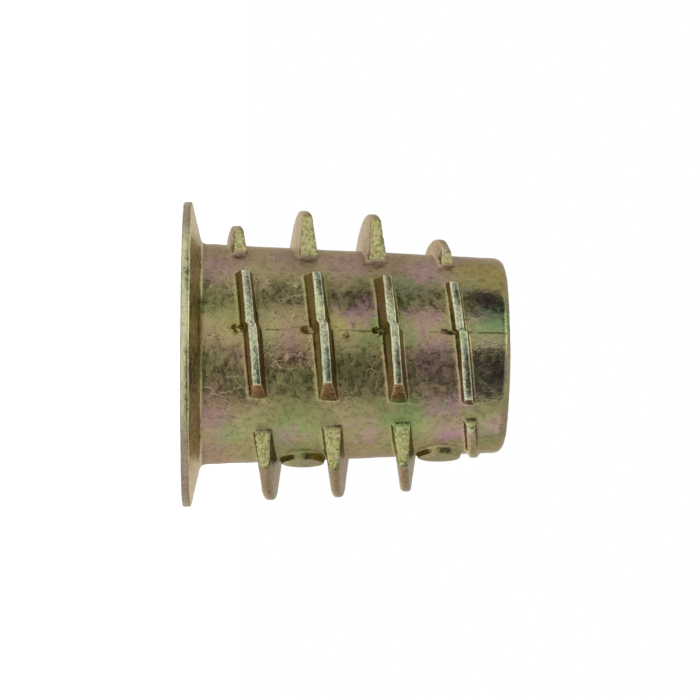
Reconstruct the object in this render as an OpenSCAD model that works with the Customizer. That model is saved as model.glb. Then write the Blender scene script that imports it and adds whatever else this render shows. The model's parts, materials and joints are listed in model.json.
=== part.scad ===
// Insert nut for wood, cast in one piece: a flanged, tapered body with a coarse
// outer thread, a hexagon socket in the flange end and a metric screw thread
// through the rest. Millimetres.
//
// The flange face lies on z = 0 and the axis runs along +Z to the tip. The two
// halves of the casting die part on the plane x = 0: half A is drawn off
// towards -X and half B towards +X.

/* [Body] */
// Overall length, from the flange face to the tip
length = 13; // [9:0.5:18]
// Diameter of the body where it leaves the flange
body_d = 9; // [8.6:0.1:11]
// Draft of the body on each side, in degrees
body_draft = 2.55; // [1:0.05:3]
// Radius of the rounded corner at the tip
tip_r = 0.4; // [0.2:0.05:0.6]

/* [Flange] */
// Diameter of the flange
flange_d = 12.4; // [11.5:0.1:16]
// Thickness of the flange at its rim
rim_t = 0.35; // [0.25:0.05:0.8]
// Rise of the conical underside, from the rim to the body
underside_h = 0.4; // [0.2:0.05:0.6]
// Fillet where the underside meets the body
root_r = 0.15; // [0.05:0.05:0.3]
// Break on the two edges of the rim
rim_break = 0.06; // [0.03:0.01:0.1]

/* [Outer thread] */
// Advance of the thread in one turn
pitch = 2.75; // [2:0.05:3.5]
// Height of the rib above the body
rib_h = 1.54; // [1:0.02:1.9]
// Width of the rib at its crest
crest_w = 0.35; // [0.25:0.05:0.5]
// Width of the rib at the body
base_w = 0.78; // [0.6:0.02:1]
// Break on the two edges of the crest
crest_break = 0.07; // [0.03:0.01:0.1]
// Height of the first full turn where it crosses the parting line at -Y
first_turn_z = 2.69; // [2.4:0.01:3]
// Height at which the rib rises out of the body
run_in_z = 0.97; // [0.9:0.01:1.4]
// Slope of the cone that trims the first turn, in degrees
run_in_slope = 30; // [25:1:45]
// Distance from the tip at which the rib sinks back into the body
run_out_gap = 0.94; // [0.8:0.02:2]
// Slope of the cone that trims the last turn, in degrees
run_out_slope = 26.5; // [20:0.5:45]

/* [Notches in the outer thread] */
// Reach of the rib on each side of the parting plane in die half A, at the crest
cross_a = 2.2; // [1.8:0.05:2.4]
// The same reach in die half B
cross_b = 2.34; // [1.8:0.02:2.4]
// Reach of the rib on each side of the draw line in die half A
side_a = 2.76; // [2.2:0.02:2.9]
// The same reach in die half B
side_b = 2.5; // [2.2:0.02:2.9]
// Draft of the notch faces that lie across the draw, in degrees
notch_draft = 8.7; // [4:0.1:12]
// Offset of die half B along the axis, seen as a step at the parting line
die_shift = 0.085; // [0.02:0.005:0.12]

/* [Ejector pads] */
// Diameter of the flat end of each pad
pad_d = 1.7; // [1.2:0.1:1.9]
// Height of the flat end above the body
pad_proud = 0.2; // [0.1:0.05:0.3]
// Draft of the side of each pad, in degrees
pad_draft = 22; // [10:1:30]

/* [Socket and screw thread] */
// Width of the hexagon socket across its flats
drive_af = 6; // [5:0.5:6.5]
// Depth of the hexagon socket
drive_depth = 4.5; // [4.2:0.1:6]
// Nominal diameter of the screw
screw_d = 6; // [5:0.5:6.5]
// Bore of the screw thread, across the crests of the thread
bore_d = 5; // [4.2:0.1:5.4]
// Chamfer past the nominal diameter at the mouths of the socket and the bore
mouth_c = 0.12; // [0.05:0.01:0.2]

/* [Hidden] */
$fn = 96;

// Overshoot of a cutter past the face that it opens
over = 1;
// Depth below the surface of the body at which the rib reaches its full base
rib_knee = 0.05;
// Depth below the surface of the body to which the rib is rooted
rib_root = 0.15;
// Least height at which the rib still shows, and its depth below the surface past that
rib_least = 0.05;
rib_buried = 0.03;
// Angle between two sections of the swept rib
rib_step = 7.5;
// Steps in a rounded corner of the turned profile
arc_steps = 6;
// Place of the turned surface's seam: in a notch, clear of the rib and the pads
seam_turn = 45;

flange_t = rim_t + underside_h;
run_out_z = length - run_out_gap;
underside_slope = atan(underside_h / (flange_d / 2 - body_d / 2));

// Radius of the body at height z
function body_r(z) = body_d / 2 - (z - flange_t) * tan(body_draft);

// Height of the crest above the body at height z, trimmed by a cone at each end
function crest_rise(z) = min(
    rib_h,
    body_r(run_in_z) + (z - run_in_z) * tan(run_in_slope) - body_r(z),
    body_r(run_out_z) + (run_out_z - z) * tan(run_out_slope) - body_r(z)
);

// Radius of the crest at height z, which drops below the surface where it would be a sliver
function crest_r(z) =
    body_r(z) + (crest_rise(z) > rib_least ? crest_rise(z) : -rib_buried);

// Points of an arc of radius r about c, from angle a to angle b
function arc(c, r, a, b) = [
    for (i = [0 : arc_steps])
        let (t = a + (b - a) * i / arc_steps) c + r * [cos(t), sin(t)]
];

// Half section of the flange and the body. The fillet at the root touches both the
// underside and the body, and the tip's corner touches both the body and the end face.
module turned_form() {
    fillet_turn = 90 - underside_slope - body_draft;
    fillet_leg = root_r * tan(fillet_turn / 2);
    fillet_c = [body_d / 2, flange_t]
        + fillet_leg * [cos(underside_slope), -sin(underside_slope)]
        + root_r * [sin(underside_slope), cos(underside_slope)];
    tip_c = [
        body_r(length - tip_r) - tip_r / cos(body_draft),
        length - tip_r
    ];
    rim_r = flange_d / 2;
    rotate([0, 0, seam_turn]) rotate_extrude()
        polygon(concat(
            [
                [0, 0],
                [rim_r - rim_break, 0],
                [rim_r, rim_break],
                [rim_r, rim_t - rim_break],
                [rim_r - rim_break, rim_t]
            ],
            arc(fillet_c, root_r, 270 - underside_slope, 180 + body_draft),
            arc(tip_c, tip_r, body_draft, 90),
            [[0, length]]
        ));
}

// Angle from the parting plane at which the rib's arc across it ends, at radius r
function cross_angle(cross, r) = let (
    full_r = body_r(length / 2) + rib_h,
    face_d = cross * cos(notch_draft)
        + sqrt(full_r * full_r - cross * cross) * sin(notch_draft)
) asin(min(1, face_d / r)) - notch_draft;

// Angle from the parting plane at which the rib's arc at the draw line begins
function side_angle(side, r) = acos(min(1, side / r));

// Angle at which the two faces of a notch meet
function corner_angle(cross, side) = let (
    full_r = body_r(length / 2) + rib_h,
    face_d = cross * cos(notch_draft)
        + sqrt(full_r * full_r - cross * cross) * sin(notch_draft)
) atan2(face_d - side * sin(notch_draft), side * cos(notch_draft));

// Each turn is six arcs, counted from the parting line at -Y: three in die half B,
// then three in die half A. The middle one of each three lies at the draw line.
// This is the angle of an arc's start (end = 0) or finish (end = 1) at radius r.
function arc_angle(i, end, r) = let (
    in_b = i < 3,
    cross = in_b ? cross_b : cross_a,
    side = in_b ? side_b : side_a,
    corner = corner_angle(cross, side),
    to_cross = min(cross_angle(cross, r), corner),
    to_side = max(side_angle(side, r), corner),
    within = i % 3 == 0 ? (end == 0 ? 0 : to_cross)
        : i % 3 == 1 ? (end == 0 ? to_side : 180 - to_side)
        : (end == 0 ? 180 - to_cross : 180)
) (in_b ? 0 : 180) + within;

// Height of the crest's middle at this angle of this turn
function rib_z(turn, angle, i) =
    first_turn_z + pitch * (turn + angle / 360) + (i < 3 ? die_shift : 0);

// Section of the rib where the crest's middle is at height z: radius and offset along Z
function rib_section(z) = let (
    crest = crest_r(z),
    knee = body_r(z) - rib_knee,
    edge = min(crest_break, (crest - knee) / 3)
) [
    [body_r(z) - rib_root, -base_w / 2],
    [knee, -base_w / 2],
    [crest - edge, -crest_w / 2],
    [crest, -crest_w / 2 + edge],
    [crest, crest_w / 2 - edge],
    [crest - edge, crest_w / 2],
    [knee, base_w / 2],
    [body_r(z) - rib_root, base_w / 2]
];

// One arc of the rib, swept along the helix between its two flat ends
module rib_arc(turn, i) {
    mid_r = body_r(length / 2);
    from = arc_angle(i, 0, mid_r);
    to = arc_angle(i, 1, mid_r);
    steps = ceil((to - from) / rib_step);
    points = [
        for (s = [0 : steps])
            let (z = rib_z(turn, from + (to - from) * s / steps, i))
                for (p = rib_section(z))
                    let (
                        a0 = arc_angle(i, 0, p[0]),
                        a1 = arc_angle(i, 1, p[0]),
                        a = a0 + (a1 - a0) * s / steps
                    ) [
                        p[0] * sin(a),
                        -p[0] * cos(a),
                        rib_z(turn, a, i) + p[1]
                    ]
    ];
    n = len(rib_section(length / 2));
    walls = [
        for (s = [0 : steps - 1], j = [0 : n - 1])
            let (
                a = s * n + j,
                b = s * n + (j + 1) % n
            ) each [[a, b, b + n], [a, b + n, a + n]]
    ];
    start = [for (j = [n - 1 : -1 : 0]) j];
    finish = [for (j = [0 : n - 1]) steps * n + j];
    polyhedron(points = points, faces = concat(walls, [start, finish]));
}

// All the arcs whose crest stands clear of the body at one end or the other
module outer_thread() {
    mid_r = body_r(length / 2);
    for (turn = [-1 : ceil(length / pitch)], i = [0 : 5]) {
        rise = [
            for (end = [0, 1])
                crest_rise(rib_z(turn, arc_angle(i, end, mid_r), i))
        ];
        if (max(rise) > 2 * rib_least)
            rib_arc(turn, i);
    }
}

// Round pads at the draw line of die half B, where the ejector pins push. They lie
// midway between two turns of the rib, with one gap left out between them.
module ejector_pads() {
    sunk = 0.5;
    first = rib_z(0, 90, 0) + pitch / 2;
    for (z = [first : 2 * pitch : run_out_z - pad_d / 2])
        translate([body_r(z) - sunk, 0, z])
            rotate([0, 90, 0]) rotate([0, 0, seam_turn])
                cylinder(
                    h = sunk + pad_proud,
                    r1 = pad_d / 2 + (sunk + pad_proud) * tan(pad_draft),
                    r2 = pad_d / 2
                );
}

// The hexagon socket, with a chamfered mouth
module drive_socket() {
    corner_r = drive_af / 2 / cos(30);
    translate([0, 0, -over])
        cylinder(h = drive_depth + over, r = corner_r, $fn = 6);
    translate([0, 0, -over])
        cylinder(
            h = over + 2 * mouth_c,
            r1 = corner_r + mouth_c + over,
            r2 = corner_r - mouth_c
        );
}

// The bore of the screw thread, with a chamfer at each end
module screw_bore() {
    bore_r = bore_d / 2;
    wide_r = screw_d / 2 + mouth_c;
    cone_h = wide_r - bore_r;
    rotate([0, 0, seam_turn]) rotate_extrude()
        polygon([
            [0, drive_depth - cone_h],
            [wide_r + cone_h, drive_depth - cone_h],
            [bore_r, drive_depth + cone_h],
            [bore_r, length - cone_h],
            [wide_r + over, length + over],
            [0, length + over]
        ]);
}

// The casting: yellow-chromated zinc alloy
module insert() {
    color("#8c8657")
        difference() {
            union() {
                union() {
                    turned_form();
                    ejector_pads();
                }
                outer_thread();
            }
            drive_socket();
            screw_bore();
        }
}

insert();
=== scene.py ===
import json
import math

import bmesh
import bpy
from mathutils import Matrix, Vector


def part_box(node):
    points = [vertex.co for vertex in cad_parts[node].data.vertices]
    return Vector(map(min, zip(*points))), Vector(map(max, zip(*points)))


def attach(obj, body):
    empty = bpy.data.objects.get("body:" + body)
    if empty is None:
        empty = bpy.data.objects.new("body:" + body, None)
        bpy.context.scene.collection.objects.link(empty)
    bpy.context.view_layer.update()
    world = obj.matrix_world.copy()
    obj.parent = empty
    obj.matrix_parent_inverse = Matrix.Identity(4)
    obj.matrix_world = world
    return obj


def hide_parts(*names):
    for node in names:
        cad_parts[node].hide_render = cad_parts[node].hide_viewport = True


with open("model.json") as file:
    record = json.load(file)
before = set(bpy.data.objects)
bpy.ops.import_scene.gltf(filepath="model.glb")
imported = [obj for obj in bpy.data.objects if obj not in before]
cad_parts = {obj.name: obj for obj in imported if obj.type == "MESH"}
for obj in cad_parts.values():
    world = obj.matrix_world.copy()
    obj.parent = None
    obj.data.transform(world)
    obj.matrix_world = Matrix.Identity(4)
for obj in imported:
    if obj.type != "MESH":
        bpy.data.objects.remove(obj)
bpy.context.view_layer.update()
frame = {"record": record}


# Turned form of the casting: a thin round flange with a conical underside and a body that
# tapers to a rounded tip. Zinc alloy, cast under pressure in a two-part steel die.
# It is modelled in millimetres and brought to metres once, when the casting is whole.
MM = 0.001
low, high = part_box("insert")
length = (high[2] - low[2]) / MM
flange_r = (high[0] - low[0]) / 2 / MM
rim_t = 0.35
underside_h = 0.4
flange_t = rim_t + underside_h
body_root_r = 4.5
body_slope = math.tan(math.radians(2.55))
rim_round = 0.07
root_round = 0.16
tip_round = 0.42
body_steps = 24
turned_sides = 192
# No facet of a round piece starts on the die's own planes, so that none meets a cut edge-on.
seam_turn = math.radians(0.7)


def body_r(z):
    """Radius of the tapered body at height z."""
    return body_root_r - (z - flange_t) * body_slope


def only(piece):
    """Makes a piece the only one selected, and the active one."""
    bpy.ops.object.select_all(action="DESELECT")
    bpy.context.view_layer.objects.active = piece
    piece.select_set(True)


def pick(piece, rule, kind="verts"):
    """Selects in edit mode the verts, edges or faces for which the rule holds."""
    bpy.ops.mesh.select_all(action="DESELECT")
    mode = {"verts": "VERT", "edges": "EDGE", "faces": "FACE"}[kind]
    bpy.ops.mesh.select_mode(type=mode)
    mesh = bmesh.from_edit_mesh(piece.data)
    for part in getattr(mesh, kind):
        part.select_set(bool(rule(part)))
    mesh.select_flush_mode()
    bmesh.update_edit_mesh(piece.data)


def ring_edge(radius, z, slack=0.02):
    """A rule for the edges of the circle of this radius at this height."""
    def on_ring(edge):
        return all(
            abs(v.co.z - z) < slack and abs(v.co.xy.length - radius) < slack
            for v in edge.verts
        )
    return on_ring


bpy.ops.object.select_all(action="DESELECT")
bpy.ops.mesh.primitive_cylinder_add(
    vertices=turned_sides,
    radius=flange_r,
    depth=rim_t,
    location=(0, 0, rim_t / 2),
    rotation=(0, 0, seam_turn),
)
casting = bpy.context.object
casting.name = "insert_casting"
bpy.ops.object.transform_apply(location=True, rotation=True)
bpy.ops.object.mode_set(mode="EDIT")
pick(casting, lambda f: f.normal.z > 0.9, "faces")
bpy.ops.mesh.extrude_region_move(TRANSFORM_OT_translate={"value": (0, 0, underside_h)})
narrow = body_root_r / flange_r
bpy.ops.transform.resize(value=(narrow, narrow, 1))
step_h = (length - flange_t) / body_steps
for step in range(body_steps):
    z = flange_t + step * step_h
    narrow = body_r(z + step_h) / body_r(z)
    bpy.ops.mesh.extrude_region_move(TRANSFORM_OT_translate={"value": (0, 0, step_h)})
    bpy.ops.transform.resize(value=(narrow, narrow, 1))
for ring_r, ring_z, width, rounds in (
    (flange_r, 0, rim_round, 3),
    (flange_r, rim_t, rim_round, 3),
    (body_root_r, flange_t, root_round, 5),
    (body_r(length), length, tip_round, 8),
):
    pick(casting, ring_edge(ring_r, ring_z), "edges")
    bpy.ops.mesh.bevel(offset=width, segments=rounds, affect="EDGES")
bpy.ops.object.mode_set(mode="OBJECT")


# Outer thread: a right-handed rib, wedge-shaped in section, that climbs out of the body near
# the flange and sinks back into it near the tip. Each half of the die forms its own half of
# every turn, and leaves four L-shaped notches a turn, because it has to draw straight off.
pitch = 2.75
rib_h = 1.54
rib_depth = 1.95
crest_w = 0.42
crest_round = 0.12
flank = math.tan(math.radians(6.3))
first_turn_z = 2.69
run_in_slope = math.tan(math.radians(30))
run_out_slope = math.tan(math.radians(26.5))
die_shift = 0.085
turn_steps = 72
# How far each end of the rib is carried on inside the body, so that it sinks in without a step.
buried_in = 0.08
buried_out = 0.1
# Each half of the die: +1 is drawn off towards +X, -1 towards -X. Its rib comes out of the body
# and goes back into it at these heights. The notches begin this far from the parting plane at
# half height, less by the taper for each mm of height, and this far to the side.
run_in_z = {1: 0.97, -1: 0.85}
run_out_z = {1: length - 0.94, -1: length - 1.2}
notch_reach = {1: 2.34, -1: 2.05}
notch_taper = {1: 0, -1: 0.04}
notch_side = {1: 2.5, -1: 2.76}
notch_draft = math.tan(math.radians(8.7))
notch_far = 8


def crest_r(z, half):
    """Radius of the rib's crest at height z, trimmed by a cone at each end."""
    return min(
        body_r(z) + rib_h,
        body_r(run_in_z[half]) + (z - run_in_z[half]) * run_in_slope,
        body_r(run_out_z[half]) + (run_out_z[half] - z) * run_out_slope,
    )


def rib_angle(z):
    """Angle about the axis at which the rib's crest has climbed to height z."""
    return math.radians(-90) + (z - first_turn_z) / pitch * math.tau


def turn_about_axis(angle):
    """Turns what is selected about the axis, the way the right hand turns."""
    bpy.ops.transform.rotate(value=-angle, orient_axis="Z", center_override=(0, 0, 0))


def boolean(piece, other, operation):
    """Joins another piece to this one or cuts it away, and removes the other."""
    only(piece)
    tool = piece.modifiers.new(operation.lower(), "BOOLEAN")
    tool.operation = operation
    tool.object = other
    tool.solver = "MANIFOLD"
    bpy.ops.object.modifier_apply(modifier=tool.name)
    bpy.data.objects.remove(other)


for half in (1, -1):
    # The section, then one step of the sweep after another.
    bpy.ops.object.select_all(action="DESELECT")
    bpy.ops.mesh.primitive_plane_add(size=1, rotation=(math.radians(90), 0, 0))
    rib = bpy.context.object
    bpy.ops.object.transform_apply(rotation=True)
    bpy.ops.object.mode_set(mode="EDIT")
    rib_z = run_in_z[half] - buried_in
    rib_r = crest_r(rib_z, half)
    root_w = crest_w + 2 * rib_depth * flank
    bpy.ops.transform.resize(value=(rib_depth, 1, root_w))
    bpy.ops.transform.translate(value=(rib_r - rib_depth / 2, 0, rib_z))
    pick(rib, lambda v: v.co.x > rib_r - rib_depth / 2)
    bpy.ops.transform.resize(value=(1, 1, crest_w / root_w))
    bpy.ops.mesh.bevel(offset=crest_round, segments=3, affect="VERTICES")
    bpy.ops.mesh.select_mode(type="FACE")
    bpy.ops.mesh.select_all(action="SELECT")
    turn_about_axis(rib_angle(rib_z))
    rib_end_z = run_out_z[half] + buried_out
    for step in range(round((rib_end_z - rib_z) / pitch * turn_steps)):
        next_z = rib_z + pitch / turn_steps
        lift = crest_r(next_z, half) - crest_r(rib_z, half)
        angle = rib_angle(next_z)
        bpy.ops.mesh.extrude_region_move()
        turn_about_axis(math.tau / turn_steps)
        bpy.ops.transform.translate(
            value=(lift * math.cos(angle), lift * math.sin(angle), next_z - rib_z)
        )
        rib_z = next_z
    # Only what lies in this half of the die is kept.
    bpy.ops.mesh.select_all(action="SELECT")
    bpy.ops.mesh.normals_make_consistent(inside=False)
    bpy.ops.mesh.bisect(
        plane_co=(0, 0, 0),
        plane_no=(half, 0, 0),
        use_fill=True,
        clear_inner=True,
        threshold=1e-6,
    )
    bpy.ops.mesh.select_all(action="SELECT")
    if half > 0:
        bpy.ops.transform.translate(value=(0, 0, die_shift))
    bpy.ops.mesh.normals_make_consistent(inside=False)
    bpy.ops.object.mode_set(mode="OBJECT")
    # The notches: a block for each side, its inner face leaning with the draw.
    reach = notch_reach[half]
    crest_y = math.sqrt((body_r(length / 2) + rib_h) ** 2 - reach ** 2)
    for side in (1, -1):
        bpy.ops.object.select_all(action="DESELECT")
        bpy.ops.mesh.primitive_cube_add(size=1)
        notch = bpy.context.object
        bpy.ops.object.mode_set(mode="EDIT")
        bpy.ops.transform.resize(
            value=(notch_far - reach, notch_far - notch_side[half], 2 * length)
        )
        bpy.ops.transform.translate(value=(
            half * (notch_far + reach) / 2,
            side * (notch_far + notch_side[half]) / 2,
            length / 2,
        ))
        inner_x = (notch_far + reach) / 2
        for y_from, y_to, lean in (
            (0, crest_y, crest_y - notch_side[half]),
            (crest_y, 2 * notch_far, crest_y - notch_far),
        ):
            pick(notch, lambda v: abs(v.co.x) < inner_x and y_from < abs(v.co.y) < y_to)
            bpy.ops.transform.translate(value=(half * lean * notch_draft, 0, 0))
        for up in (1, -1):
            pick(notch, lambda v: abs(v.co.x) < inner_x and (v.co.z - length / 2) * up > 0)
            taper = up * length * notch_taper[half]
            bpy.ops.transform.translate(value=(-half * taper, 0, 0))
        bpy.ops.object.mode_set(mode="OBJECT")
        boolean(rib, notch, "DIFFERENCE")
    boolean(casting, rib, "UNION")


# Parting line: where the halves of the die met, the casting has a small nick at the foot of
# each turn and a few burrs, lumps of metal that ran into the joint.
nick_deep = 0.13
nick_x = -0.01
nick_lean = math.radians(4)
# Nicks: height, half length along the seam, and half width.
for z, long, wide in (
    (2.2, 0.24, 0.15),
    (5.02, 0.3, 0.15),
    (7.86, 0.36, 0.13),
    (10.6, 0.5, 0.07),
    (5.6, 0.12, 0.06),
):
    bpy.ops.object.select_all(action="DESELECT")
    bpy.ops.mesh.primitive_uv_sphere_add(
        segments=19,
        ring_count=12,
        radius=1,
        location=(nick_x, -body_r(z), z),
        scale=(wide, nick_deep, long),
        rotation=(0, nick_lean, 0),
    )
    boolean(casting, bpy.context.object, "DIFFERENCE")
# Burrs: place beside the seam, height, and size.
for x, z, size in (
    (0.06, 2.02, 0.08),
    (-0.1, 2.35, 0.07),
    (-0.09, 5.2, 0.07),
    (0.12, 7.75, 0.06),
    (0.05, 8.1, 0.09),
    (-0.2, 6.7, 0.06),
    (0.16, 6.45, 0.07),
    (1.1, 4.2, 0.06),
    (-1.9, 4.55, 0.06),
):
    bpy.ops.object.select_all(action="DESELECT")
    bpy.ops.mesh.primitive_ico_sphere_add(
        subdivisions=2,
        radius=1,
        location=(x, -math.sqrt(body_r(z) ** 2 - x ** 2), z),
        scale=(size, size, 1.5 * size),
    )
    boolean(casting, bpy.context.object, "UNION")


# Ejector pads: two round, flat lands on the half that keeps the casting when the die opens,
# where the pins push it out. They lie midway between two turns, at the draw line.
pad_r = 0.85
pad_proud = 0.2
pad_sunk = 0.5
pad_draft = math.tan(math.radians(22))
pad_h = pad_sunk + pad_proud
first_pad_z = first_turn_z + pitch * 0.75 + die_shift
for pad_z in (first_pad_z, first_pad_z + 2 * pitch):
    bpy.ops.object.select_all(action="DESELECT")
    bpy.ops.mesh.primitive_cone_add(
        vertices=61,
        radius1=pad_r + pad_h * pad_draft,
        radius2=pad_r,
        depth=pad_h,
        location=(body_r(pad_z) + pad_proud - pad_h / 2, 0, pad_z),
        rotation=(math.radians(90), seam_turn, math.radians(90)),
    )
    boolean(casting, bpy.context.object, "UNION")


# Inside: a hexagon socket cast from the flange end, and an M6 thread tapped through the rest,
# with the chamfers that the core pin and the tap leave.
drive_af = 6
drive_depth = 4.5
bore_r = frame["record"]["mounts"][0]["dims"]["r_mm"]
screw_r = 3
screw_pitch = 1
mouth_c = 0.12
past = 1
hex_r = drive_af / 2 / math.cos(math.radians(30))
chamfer_h = screw_r + mouth_c - bore_r
# The bore's mouth in the socket's floor stays just inside the hexagon's flats.
floor_mouth_r = drive_af / 2 - 0.05
lead_in = 0.02
round_sides = 96


def cut_round(sides, r_low, r_high, z_low, z_high, turned=3 * seam_turn):
    """Cuts a straight or conical hole out of the casting, from one height to another."""
    bpy.ops.object.select_all(action="DESELECT")
    bpy.ops.mesh.primitive_cone_add(
        vertices=sides,
        radius1=r_low,
        radius2=r_high,
        depth=z_high - z_low,
        location=(0, 0, (z_low + z_high) / 2),
        rotation=(0, 0, turned),
    )
    boolean(casting, bpy.context.object, "DIFFERENCE")


cut_round(6, hex_r, hex_r, -past, drive_depth, math.radians(30))
cut_round(round_sides, hex_r + mouth_c + past, hex_r - mouth_c, -past, 2 * mouth_c)
cut_round(round_sides, bore_r, bore_r, drive_depth - past, length + past)
cut_round(
    round_sides,
    floor_mouth_r + lead_in,
    bore_r,
    drive_depth - lead_in,
    drive_depth + floor_mouth_r - bore_r,
)
cut_round(round_sides, bore_r, screw_r + mouth_c + past, length - chamfer_h, length + past)

# The tap's cutting ridge: one tooth, swept down the bore.
tooth_root_r = bore_r - 0.1
tooth_w = 0.96 * screw_pitch
tooth_flat = 0.14 * screw_pitch
bpy.ops.object.select_all(action="DESELECT")
bpy.ops.mesh.primitive_plane_add(size=1, rotation=(math.radians(90), 0, 0))
tap = bpy.context.object
bpy.ops.object.transform_apply(rotation=True)
bpy.ops.object.mode_set(mode="EDIT")
bpy.ops.transform.resize(value=(screw_r - tooth_root_r, 1, tooth_w))
bpy.ops.transform.translate(
    value=((screw_r + tooth_root_r) / 2, 0, drive_depth + screw_pitch / 2)
)
pick(tap, lambda v: v.co.x > (screw_r + tooth_root_r) / 2)
bpy.ops.transform.resize(value=(1, 1, tooth_flat / tooth_w))
bpy.ops.object.mode_set(mode="OBJECT")
sweep = tap.modifiers.new("sweep", "SCREW")
sweep.axis = "Z"
sweep.angle = math.tau
sweep.screw_offset = screw_pitch
sweep.iterations = math.ceil((length - drive_depth) / screw_pitch)
sweep.steps = 64
sweep.render_steps = 64
sweep.use_merge_vertices = False
only(tap)
bpy.ops.object.modifier_apply(modifier=sweep.name)
bpy.ops.object.mode_set(mode="EDIT")
bpy.ops.mesh.select_all(action="SELECT")
bpy.ops.mesh.fill_holes(sides=4)
bpy.ops.mesh.select_all(action="SELECT")
bpy.ops.mesh.normals_make_consistent(inside=False)
bpy.ops.object.mode_set(mode="OBJECT")
boolean(casting, tap, "DIFFERENCE")

# The die's edges are not sharp and its faces not true: the whole casting is meshed afresh in
# one skin, softened, and given the slow waves and the small lumps of cast metal.
skin_mm = 0.05
soft_passes = 2
mostly_inwards = 0.8
most_triangles = 190000
only(casting)
skin = casting.modifiers.new("skin", "REMESH")
skin.mode = "VOXEL"
skin.voxel_size = skin_mm
bpy.ops.object.modifier_apply(modifier=skin.name)
soft = casting.modifiers.new("soft", "SMOOTH")
soft.factor = 0.5
soft.iterations = soft_passes
bpy.ops.object.modifier_apply(modifier=soft.name)
for name, lump_mm, height_mm in (("waves", 1.3, 0.04), ("lumps", 0.22, 0.016)):
    cloud = bpy.data.textures.new(name, "CLOUDS")
    cloud.noise_scale = lump_mm
    cloud.noise_depth = 2
    uneven = casting.modifiers.new(name, "DISPLACE")
    uneven.texture = cloud
    uneven.texture_coords = "LOCAL"
    uneven.strength = height_mm
    uneven.mid_level = mostly_inwards
    bpy.ops.object.modifier_apply(modifier=uneven.name)
triangles = sum(len(f.vertices) - 2 for f in casting.data.polygons)
thin = casting.modifiers.new("thin", "DECIMATE")
thin.ratio = min(1, most_triangles / triangles)
bpy.ops.object.modifier_apply(modifier=thin.name)
casting.scale = (MM, MM, MM)
bpy.ops.object.transform_apply(scale=True)
bpy.ops.object.mode_set(mode="EDIT")
bpy.ops.mesh.select_all(action="SELECT")
bpy.ops.mesh.normals_make_consistent(inside=False)
bpy.ops.object.mode_set(mode="OBJECT")
bpy.ops.object.shade_smooth()
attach(casting, "root")
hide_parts("insert")


# Finish: zinc plate under a yellow chromate film. The film is thinner than a wavelength of
# light, so it shows olive, green and rose in drifting patches over a satin, cast surface.
def linear(hex_colour):
    """The linear colour of an sRGB hex value."""
    shades = [int(hex_colour[i:i + 2], 16) / 255 for i in (1, 3, 5)]
    return tuple(
        c / 12.92 if c <= 0.04045 else ((c + 0.055) / 1.055) ** 2.4 for c in shades
    ) + (1,)


def add(tree, kind, **parts):
    """Adds a node. Parts in small letters are its settings and come first. The others are its
    inputs: a value, or a socket or node to link. A node gives the first output it has in use."""
    node = tree.nodes.new(kind)
    for name, value in parts.items():
        if name.islower():
            setattr(node, name, value)
            continue
        socket = node.inputs[int(name[1:]) if name[1:].isdigit() else name.replace("_", " ")]
        if isinstance(value, bpy.types.Node):
            value = next(output for output in value.outputs if output.enabled)
        if isinstance(value, bpy.types.NodeSocket):
            tree.links.new(value, socket)
        else:
            socket.default_value = value
    return node


def blend_stops(ramp, stops):
    """Sets a colour ramp's stops from (place, colour) pairs."""
    line = ramp.color_ramp
    while len(line.elements) < len(stops):
        line.elements.new(0.5)
    for element, (place, colour) in zip(line.elements, stops):
        element.position = place
        element.color = linear(colour)


chromate = bpy.data.materials.new("yellow_chromate_on_cast_zinc")
chromate.use_nodes = True
tree = chromate.node_tree
tree.nodes.clear()
# The settings that come back most: a product, a size without its sign, a smooth step from one
# value to another, and one colour laid over another.
times = {"kind": "ShaderNodeMath", "operation": "MULTIPLY"}
unsigned = {"kind": "ShaderNodeMath", "operation": "ABSOLUTE"}
fade = {"kind": "ShaderNodeMapRange", "interpolation_type": "SMOOTHSTEP"}
lay = {"kind": "ShaderNodeMix", "data_type": "RGBA"}
vector_sum = "ShaderNodeVectorMath"

# Where a spot is: how far it stands off the tapered body, and how squarely it faces out.
spot = add(tree, "ShaderNodeTexCoord").outputs["Object"]
normal = add(tree, "ShaderNodeNewGeometry").outputs["Normal"]
at = add(tree, "ShaderNodeSeparateXYZ", Vector=spot).outputs
facing = add(tree, "ShaderNodeSeparateXYZ", Vector=normal).outputs
level = add(tree, vector_sum, operation="MULTIPLY", _0=spot, _1=(1, 1, 0))
off_axis = add(tree, vector_sum, operation="LENGTH", _0=level)
outward = add(tree, vector_sum, operation="NORMALIZE", _0=level)
faces_out = add(tree, vector_sum, operation="DOT_PRODUCT", _0=outward, _1=normal)
body_at = add(
    tree, "ShaderNodeMath", operation="MULTIPLY_ADD",
    _0=at["Z"], _1=-body_slope, _2=body_r(0) * MM,
)
stands = add(tree, "ShaderNodeMath", operation="SUBTRACT", _0=off_axis, _1=body_at)

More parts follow.
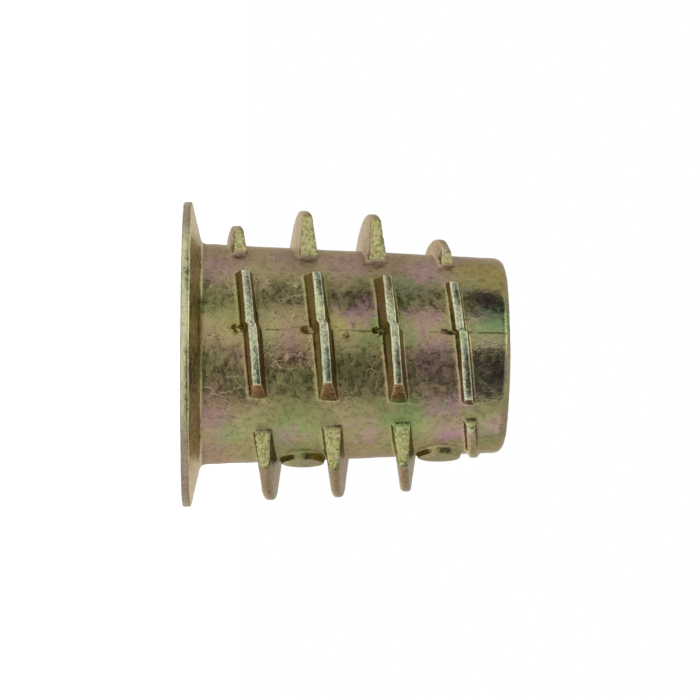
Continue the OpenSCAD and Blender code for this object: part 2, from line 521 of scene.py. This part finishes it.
# Noise at four sizes: drifting film, flow of the metal, grain of the die, and fine speckle.
patch_mm = 2.8
flow_mm = 0.8
grain_mm = 0.24
speck_mm = 0.09
drift = add(
    tree, "ShaderNodeTexNoise", Vector=spot,
    Scale=1 / (patch_mm * MM), Detail=3.0, Roughness=0.5, Distortion=0.4,
)
flow = add(
    tree, "ShaderNodeTexNoise", Vector=spot,
    Scale=1 / (flow_mm * MM), Detail=2.0, Roughness=0.5, Distortion=1.0,
)
grain = add(
    tree, "ShaderNodeTexNoise", Vector=spot,
    Scale=1 / (grain_mm * MM), Detail=3.0, Roughness=0.6, Distortion=0.3,
)
speck = add(
    tree, "ShaderNodeTexNoise", Vector=spot,
    Scale=1 / (speck_mm * MM), Detail=2.0, Roughness=0.6,
)
film = add(tree, "ShaderNodeValToRGB", Fac=drift)
blend_stops(film, (
    (0.30, "#7f9058"),
    (0.42, "#958f60"),
    (0.52, "#a0976a"),
    (0.63, "#a28c6c"),
    (0.73, "#a08377"),
))
colour = film

# Patches where the film shows one hue, and a few of painted shade or painted dark reflection,
# marked below.
rose = "#a97c8f"
green = "#76975a"
amber = "#a89a55"
umber = "#74664a"
smoke = "#9a9a90"
plum_reflection = "#5c4a52"
russet_shade = "#7c6456"
stray = 1.2 * MM
wander = add(
    tree, vector_sum, operation="MULTIPLY_ADD",
    _0=flow.outputs["Color"], _1=(2 * stray,) * 3, _2=(-stray,) * 3,
)
strayed = add(tree, vector_sum, operation="ADD", _0=spot, _1=wander)


def patch(tree, under, hue, most, size, z, angle, reach):
    """Lays a soft patch of one hue: size, height and reach from the axis in mm, and angle."""
    turned = math.radians(angle)
    centre = (reach * math.cos(turned) * MM, reach * math.sin(turned) * MM, z * MM)
    gap = add(tree, vector_sum, operation="DISTANCE", _0=strayed, _1=centre)
    share = add(
        tree, **fade, Value=gap, From_Min=size * 1.5 * MM, From_Max=size * 0.1 * MM, To_Max=most
    )
    return add(tree, **lay, _0=share, _6=under, _7=linear(hue))


# On the body: height, angle about the axis, size, the most that shows, and hue.
for z, angle, size, most, hue in (
    (6.9, -103, 0.85, 0.75, rose),
    (9.4, -97, 0.7, 0.55, rose),
    (9.8, -76, 1.0, 0.45, rose),
    (10.6, -50, 0.8, 0.7, rose),
    (10.7, -26, 0.8, 0.7, rose),
    (12.6, -30, 0.8, 0.5, rose),
    (4.1, -28, 0.8, 0.4, rose),
    (7.2, -30, 0.9, 0.4, rose),
    (1.1, -43, 0.8, 0.45, rose),
    (1.2, -132, 1.2, 0.5, rose),
    (9.4, -133, 1.3, 0.6, rose),
    (6.6, -138, 1.2, 0.55, rose),
    (3.9, -142, 1.2, 0.5, rose),
    (12.0, -112, 0.8, 0.5, rose),
    (9.1, -43, 1.2, 0.65, green),
    # Painted reflection: dark green at the tip.
    (12.7, -97, 1.1, 0.85, "#638659"),
    (1.8, -32, 0.9, 0.5, green),
    (4.6, -40, 0.8, 0.35, green),
    (8.8, -118, 0.8, 0.5, green),
    (8.4, -92, 0.7, 0.4, green),
    (10.9, -92, 0.5, 0.4, green),
    (12.2, -134, 1.2, 0.7, amber),
    (6.0, -96, 0.9, 0.4, amber),
    (2.0, -94, 0.7, 0.4, amber),
    (6.9, -113, 0.9, 0.5, umber),
    (3.9, -112, 0.8, 0.45, umber),
    (2.2, -60, 0.9, 0.45, umber),
    (7.6, -62, 0.9, 0.35, umber),
    (12.0, -66, 1.2, 0.4, smoke),
    # Painted reflection: dark plum at the tip.
    (12.7, -66, 0.6, 0.55, plum_reflection),
    (12.3, -109, 0.8, 0.5, plum_reflection),
    # Painted shade: a darker russet band down one side of the body.
    (1.5, -147, 1.6, 0.5, russet_shade),
    (4.6, -147, 1.6, 0.5, russet_shade),
    (8.0, -147, 1.6, 0.5, russet_shade),
    (11.5, -148, 1.4, 0.4, russet_shade),
):
    colour = patch(tree, colour, hue, most, size, z, angle, body_r(z))

# Faces that stand off the body: the flanks towards the flange and the tip, the faces that the
# notches leave along the draw, and those across it, which came out rougher.
on_rib = add(
    tree, **times,
    _0=add(tree, **fade, Value=stands, From_Min=0.07 * MM, From_Max=0.16 * MM),
    _1=add(tree, **fade, Value=at["Z"], From_Min=0.9 * MM, From_Max=1.0 * MM),
)
above_pads = add(tree, **fade, Value=stands, From_Min=0.22 * MM, From_Max=0.3 * MM)
rib_above_pads = add(tree, **times, _0=on_rib, _1=above_pads)
along_draw = add(tree, **unsigned, _0=facing["X"])
across_draw = add(tree, **unsigned, _0=facing["Y"])
speckled = add(tree, "ShaderNodeValToRGB", Fac=speck)
blend_stops(speckled, ((0.36, "#8a8b55"), (0.50, "#aaa86e"), (0.64, "#bfbd8f")))
for mask, direction, start, end, most, hue in (
    # Painted light: the flanks towards the flange are brown, made paler for the light the floor
    # throws up on them.
    (on_rib, facing["Z"], -0.55, -0.85, 0.8, linear("#a08a5c")),
    (on_rib, facing["Z"], 0.55, 0.85, 0.6, linear("#967e58")),
    (rib_above_pads, along_draw, 0.8, 0.93, 0.9, linear("#a67d62")),
    (on_rib, across_draw, 0.85, 0.95, 0.8, speckled),
):
    turned_so = add(tree, **fade, Value=direction, From_Min=start, From_Max=end, To_Max=most)
    share = add(tree, **times, _0=mask, _1=turned_so)
    colour = add(tree, **lay, _0=share, _6=colour, _7=hue)

# The crests are pale, partly rubbed and partly a painted highlight that is brightest at their
# edges; painted shade darkens them away from the die's seam.
on_crest = add(
    tree, **times,
    _0=add(tree, **fade, Value=stands, From_Min=0.22 * MM, From_Max=0.32 * MM),
    _1=add(tree, **fade, Value=faces_out, From_Min=0.70, From_Max=0.86),
)
rubbed_and_highlit = add(tree, "ShaderNodeValToRGB", Fac=speck)
blend_stops(rubbed_and_highlit, ((0.38, "#8b8e6f"), (0.50, "#a9ab88"), (0.62, "#c0c1a8")))
# Painted highlight: the crests' pale speckle, and a paler line along their edges.
crest_edge_highlight = add(tree, **fade, Value=faces_out, From_Min=0.995, From_Max=0.93, To_Max=0.6)
crest_film_and_light = add(tree, **lay, _0=crest_edge_highlight, _6=rubbed_and_highlit, _7=linear("#cfccb6"))
beside_seam = add(tree, **unsigned, _0=at["X"])
# Painted shade: the crests and the rim are darkened away from the die's seam.
shade_off_seam = add(
    tree, **fade, Value=beside_seam, From_Min=3.0 * MM, From_Max=4.6 * MM, To_Max=0.85
)
crest_film_and_light = add(tree, **lay, _0=shade_off_seam, _6=crest_film_and_light, _7=linear("#8a735a"))
colour = add(tree, **lay, _0=on_crest, _6=colour, _7=crest_film_and_light)

# The flange's rim is pale green, with painted shade greying it away from the seam. Its underside
# is painted pale, a painted light.
on_rim = add(
    tree, **times,
    _0=add(tree, **fade, Value=at["Z"], From_Min=0.45 * MM, From_Max=0.36 * MM),
    _1=add(tree, **fade, Value=faces_out, From_Min=0.5, From_Max=0.8, To_Max=0.9),
)
rim_film_and_shade = add(tree, **lay, _0=0.45, _6=film, _7=linear("#eef0c4"))
rim_film_and_shade = add(tree, **lay, _0=shade_off_seam, _6=rim_film_and_shade, _7=linear("#8d7d70"))
colour = add(tree, **lay, _0=on_rim, _6=colour, _7=rim_film_and_shade)
# Painted light: the flange's underside is painted pale, standing in for light it does not get.
under_flange_light = add(
    tree, **times,
    _0=add(tree, **fade, Value=at["Z"], From_Min=0.95 * MM, From_Max=0.8 * MM),
    _1=add(tree, **fade, Value=facing["Z"], From_Min=0.4, From_Max=0.8, To_Max=0.85),
)
colour = add(tree, **lay, _0=under_flange_light, _6=colour, _7=linear("#f0e6b8"))

# On the ribs and the pads: height, angle, reach, size, the most that shows, and hue.
for z, angle, reach, size, most, hue in (
    (10.2, -138, 4.6, 0.7, 0.75, "#a58d86"),
    (5.4, -96, 5.7, 0.6, 0.5, "#bfc98c"),
    (8.1, -96, 5.6, 0.5, 0.4, "#bfc98c"),
    (5.6, -72, 5.7, 0.6, 0.4, "#8fae84"),
    (11.0, -84, 4.6, 0.6, 0.5, "#98b37a"),
    (7.9, -108, 5.4, 0.6, 0.4, "#a98a62"),
    # Painted shade: the pads' faces are olive-brown, darkened further as painted shade.
    (4.84, 0, 4.5, 0.75, 0.75, "#77693f"),
    (10.3, 0, 4.3, 0.75, 0.75, "#77693f"),
):
    colour = patch(tree, colour, hue, most, size, z, angle, reach)

# Grain and speckle darken the film a little all over.
for noise, most, stops in (
    (grain, 0.55, ((0.32, "#b9b4a6"), (0.55, "#ffffff"))),
    (speck, 0.4, ((0.34, "#a8a698"), (0.46, "#ffffff"))),
):
    tone = add(tree, "ShaderNodeValToRGB", Fac=noise)
    blend_stops(tone, stops)
    colour = add(tree, **lay, blend_type="MULTIPLY", _0=most, _6=colour, _7=tone)

# Crinkles where the metal flowed cold: thin ridges along a line of one noise, in drifting
# fields on the body, fewer towards the tip.
crinkle_mm = 0.9
crinkle_line = 0.52
crinkle_w = 0.016
crinkle_along = add(
    tree, "ShaderNodeMapping", Vector=spot, Scale=(1, 1, 0.55), Rotation=(0.5, 0.2, 0)
)
crinkle = add(
    tree, "ShaderNodeTexNoise", Vector=crinkle_along,
    Scale=1 / (crinkle_mm * MM), Detail=3.0, Roughness=0.55, Distortion=0.15,
)
off_line = add(tree, "ShaderNodeMath", operation="SUBTRACT", _0=crinkle, _1=crinkle_line)
ridge = add(
    tree, **fade, Value=add(tree, **unsigned, _0=off_line),
    From_Min=0.0, From_Max=crinkle_w, To_Min=1.0, To_Max=0.0,
)
for value, start, end, least in (
    (drift, 0.46, 0.56, 0.0),
    (at["Z"], 8.2 * MM, 6.4 * MM, 0.25),
    (add(tree, **unsigned, _0=stands), 0.14 * MM, 0.07 * MM, 0.0),
    (at["Z"], 0.8 * MM, 1.0 * MM, 0.0),
):
    share = add(tree, **fade, Value=value, From_Min=start, From_Max=end, To_Min=least)
    ridge = add(tree, **times, _0=ridge, _1=share)
# Painted highlight: the crinkle ridges are painted pale, as glints along them.
ridge_glint_share = add(tree, **times, _0=ridge, _1=0.12)
colour = add(tree, **lay, _0=ridge_glint_share, _6=colour, _7=linear("#cfcbb0"))

# The seam of the die shows as a fine dark line along the body, broken by the flow.
seam_stray = 0.05 * MM
seam_place = add(
    tree, "ShaderNodeMath", operation="MULTIPLY_ADD", _0=grain, _1=2 * seam_stray, _2=-seam_stray
)
seam_gap = add(tree, "ShaderNodeMath", operation="ADD", _0=at["X"], _1=seam_place)
seam = add(
    tree, **fade,
    Value=add(tree, **unsigned, _0=seam_gap), From_Min=0.035 * MM, From_Max=0.012 * MM,
)
for value, start, end in ((stands, 0.06 * MM, 0.03 * MM), (flow, 0.42, 0.55)):
    share = add(tree, **fade, Value=value, From_Min=start, From_Max=end)
    seam = add(tree, **times, _0=seam, _1=share)
seam_share = add(tree, **times, _0=seam, _1=0.5)
colour = add(tree, **lay, _0=seam_share, _6=colour, _7=linear("#4a4028"))

# Relief: the ridges stand up and the seam is cut in, under the grain and the speckle.
relief = add(tree, "ShaderNodeMath", operation="SUBTRACT", _0=ridge, _1=seam)
ridge_bump = add(
    tree, "ShaderNodeBump", Strength=0.4, Distance=0.03 * MM, Height=relief
)
grain_bump = add(
    tree, "ShaderNodeBump", Strength=0.5, Distance=0.03 * MM, Height=grain, Normal=ridge_bump
)
speck_bump = add(
    tree, "ShaderNodeBump", Strength=0.4, Distance=0.01 * MM, Height=speck, Normal=grain_bump
)
# Satin, a little smoother at the tip, and duller and warmer where it is seen at a low angle.
satin = add(tree, **fade, Value=grain, From_Min=0.3, From_Max=0.7, To_Min=0.24, To_Max=0.4)
to_tip = add(
    tree, **fade, Value=at["Z"], From_Min=10.7 * MM, From_Max=11.6 * MM, To_Min=1.0, To_Max=0.7
)
roughness = add(tree, **times, _0=satin, _1=to_tip)
metal = add(
    tree, "ShaderNodeBsdfPrincipled", Base_Color=colour, Metallic=1.0, Roughness=roughness,
    Specular_Tint=linear("#e6dccc"), Normal=speck_bump,
)
add(tree, "ShaderNodeOutputMaterial", Surface=metal)
casting.data.materials.clear()
casting.data.materials.append(chromate)


# The stand: a plain white floor that the flange rests on. It gives off a little light of its
# own, so that it runs into the white background without an edge.
floor_size = 4
bpy.ops.object.select_all(action="DESELECT")
bpy.ops.mesh.primitive_plane_add(size=floor_size)
floor = bpy.context.object
floor.name = "floor"
white = bpy.data.materials.new("white_paper")
white.use_nodes = True
tree = white.node_tree
tree.nodes.clear()
paper = add(
    tree, "ShaderNodeBsdfPrincipled",
    Base_Color=linear("#f4f4f4"), Roughness=0.9,
    Emission_Color=linear("#ffffff"), Emission_Strength=0.55,
)
add(tree, "ShaderNodeOutputMaterial", Surface=paper)
floor.data.materials.append(white)


# Light: a white tent all round, with two dark cards beside the camera that draw the soft
# dark bands along the metal.
world = bpy.data.worlds.new("white_tent")
bpy.context.scene.world = world
world.use_nodes = True
tree = world.node_tree
tree.nodes.clear()
sight = add(tree, "ShaderNodeLightPath")
tent = add(tree, "ShaderNodeBackground", Color=linear("#fbfbff"), Strength=0.85)
backdrop = add(tree, "ShaderNodeBackground", Color=linear("#ffffff"), Strength=1.0)
both = add(
    tree, "ShaderNodeMixShader",
    _0=sight.outputs["Is Camera Ray"], _1=tent, _2=backdrop,
)
add(tree, "ShaderNodeOutputWorld", Surface=both)
view_angle = -77
middle = Vector((0, 0, length / 2 * MM))


def round_axis(angle, reach, z=length / 2 * MM):
    """A place beside the part: its angle from the camera about the axis, and its reach."""
    turned = math.radians(view_angle - angle)
    return Vector((reach * math.cos(turned), reach * math.sin(turned), z))


box_reach = 0.25
box_h = 0.25
# Soft boxes: angle from the camera about the axis, width in metres, and power in watts.
for name, angle, width, power in (
    ("front_box", 28, 0.17, 0.035),
    ("lower_box", -90, 0.12, 0.04),
):
    bpy.ops.object.select_all(action="DESELECT")
    place = round_axis(angle, box_reach)
    bpy.ops.object.light_add(type="AREA", location=place)
    box_light = bpy.context.object
    box_light.name = name
    box_light.data.shape = "RECTANGLE"
    box_light.data.size = width
    box_light.data.size_y = box_h
    box_light.data.energy = power
    box_light.rotation_euler = (middle - place).to_track_quat("-Z", "Y").to_euler()
bpy.ops.object.select_all(action="DESELECT")
tip_box_place = round_axis(60, 0.12, 0.3)
bpy.ops.object.light_add(type="AREA", location=tip_box_place)
tip_light = bpy.context.object
tip_light.name = "tip_box"
tip_light.data.size = 0.15
tip_light.data.energy = 0.12
tip_light.rotation_euler = (middle - tip_box_place).to_track_quat("-Z", "Y").to_euler()
# The cards are dark grey, and only reflections show them.
card_reach = 0.16
card_h = 0.4
dark = bpy.data.materials.new("grey_card")
dark.use_nodes = True
dark.node_tree.nodes["Principled BSDF"].inputs["Base Color"].default_value = linear("#484848")
for name, angle, width in (("upper_card", 66, 0.086), ("lower_card", -20, 0.177)):
    place = round_axis(angle, card_reach)
    bpy.ops.object.select_all(action="DESELECT")
    bpy.ops.mesh.primitive_plane_add(size=1)
    card = bpy.context.object
    card.name = name
    bpy.ops.object.mode_set(mode="EDIT")
    bpy.ops.transform.resize(value=(width, card_h, 1))
    bpy.ops.object.mode_set(mode="OBJECT")
    away = Vector((place.x, place.y, 0)).normalized()
    across = Vector((0, 0, 1)).cross(away)
    card.matrix_world = Matrix((
        (across.x, 0, away.x, place.x),
        (across.y, 0, away.y, place.y),
        (across.z, 1, away.z, place.z),
        (0, 0, 0, 1),
    ))
    bpy.ops.object.transform_apply(location=True, rotation=True)
    card.visible_camera = False
    card.data.materials.append(dark)


# Camera: 120 mm away, level with the flange end, rolled so that the part's axis lies level.
camera_far = 0.1198
camera_z = 2.7 * MM
aim_z = 6.76 * MM
aim_up = 0.2 * MM
roll = 0.27
bpy.ops.object.camera_add()
camera = bpy.context.object
camera.data.lens = 151.7
camera.data.sensor_width = 36
camera.data.clip_start = 0.01
camera.data.clip_end = 10
bpy.context.scene.camera = camera
picture_up = round_axis(90, 1, 0)
eye = round_axis(0, camera_far, camera_z) + picture_up * aim_up
aim = Vector((0, 0, aim_z)) + picture_up * aim_up
back = (eye - aim).normalized()
picture_right = Vector((0, 0, 1)) + picture_up * math.tan(math.radians(roll))
picture_right = (picture_right - picture_right.dot(back) * back).normalized()
picture_top = back.cross(picture_right)
camera.matrix_world = Matrix((
    (picture_right.x, picture_top.x, back.x, eye.x),
    (picture_right.y, picture_top.y, back.y, eye.y),
    (picture_right.z, picture_top.z, back.z, eye.z),
    (0, 0, 0, 1),
))
bpy.context.scene.view_settings.view_transform = "Standard"
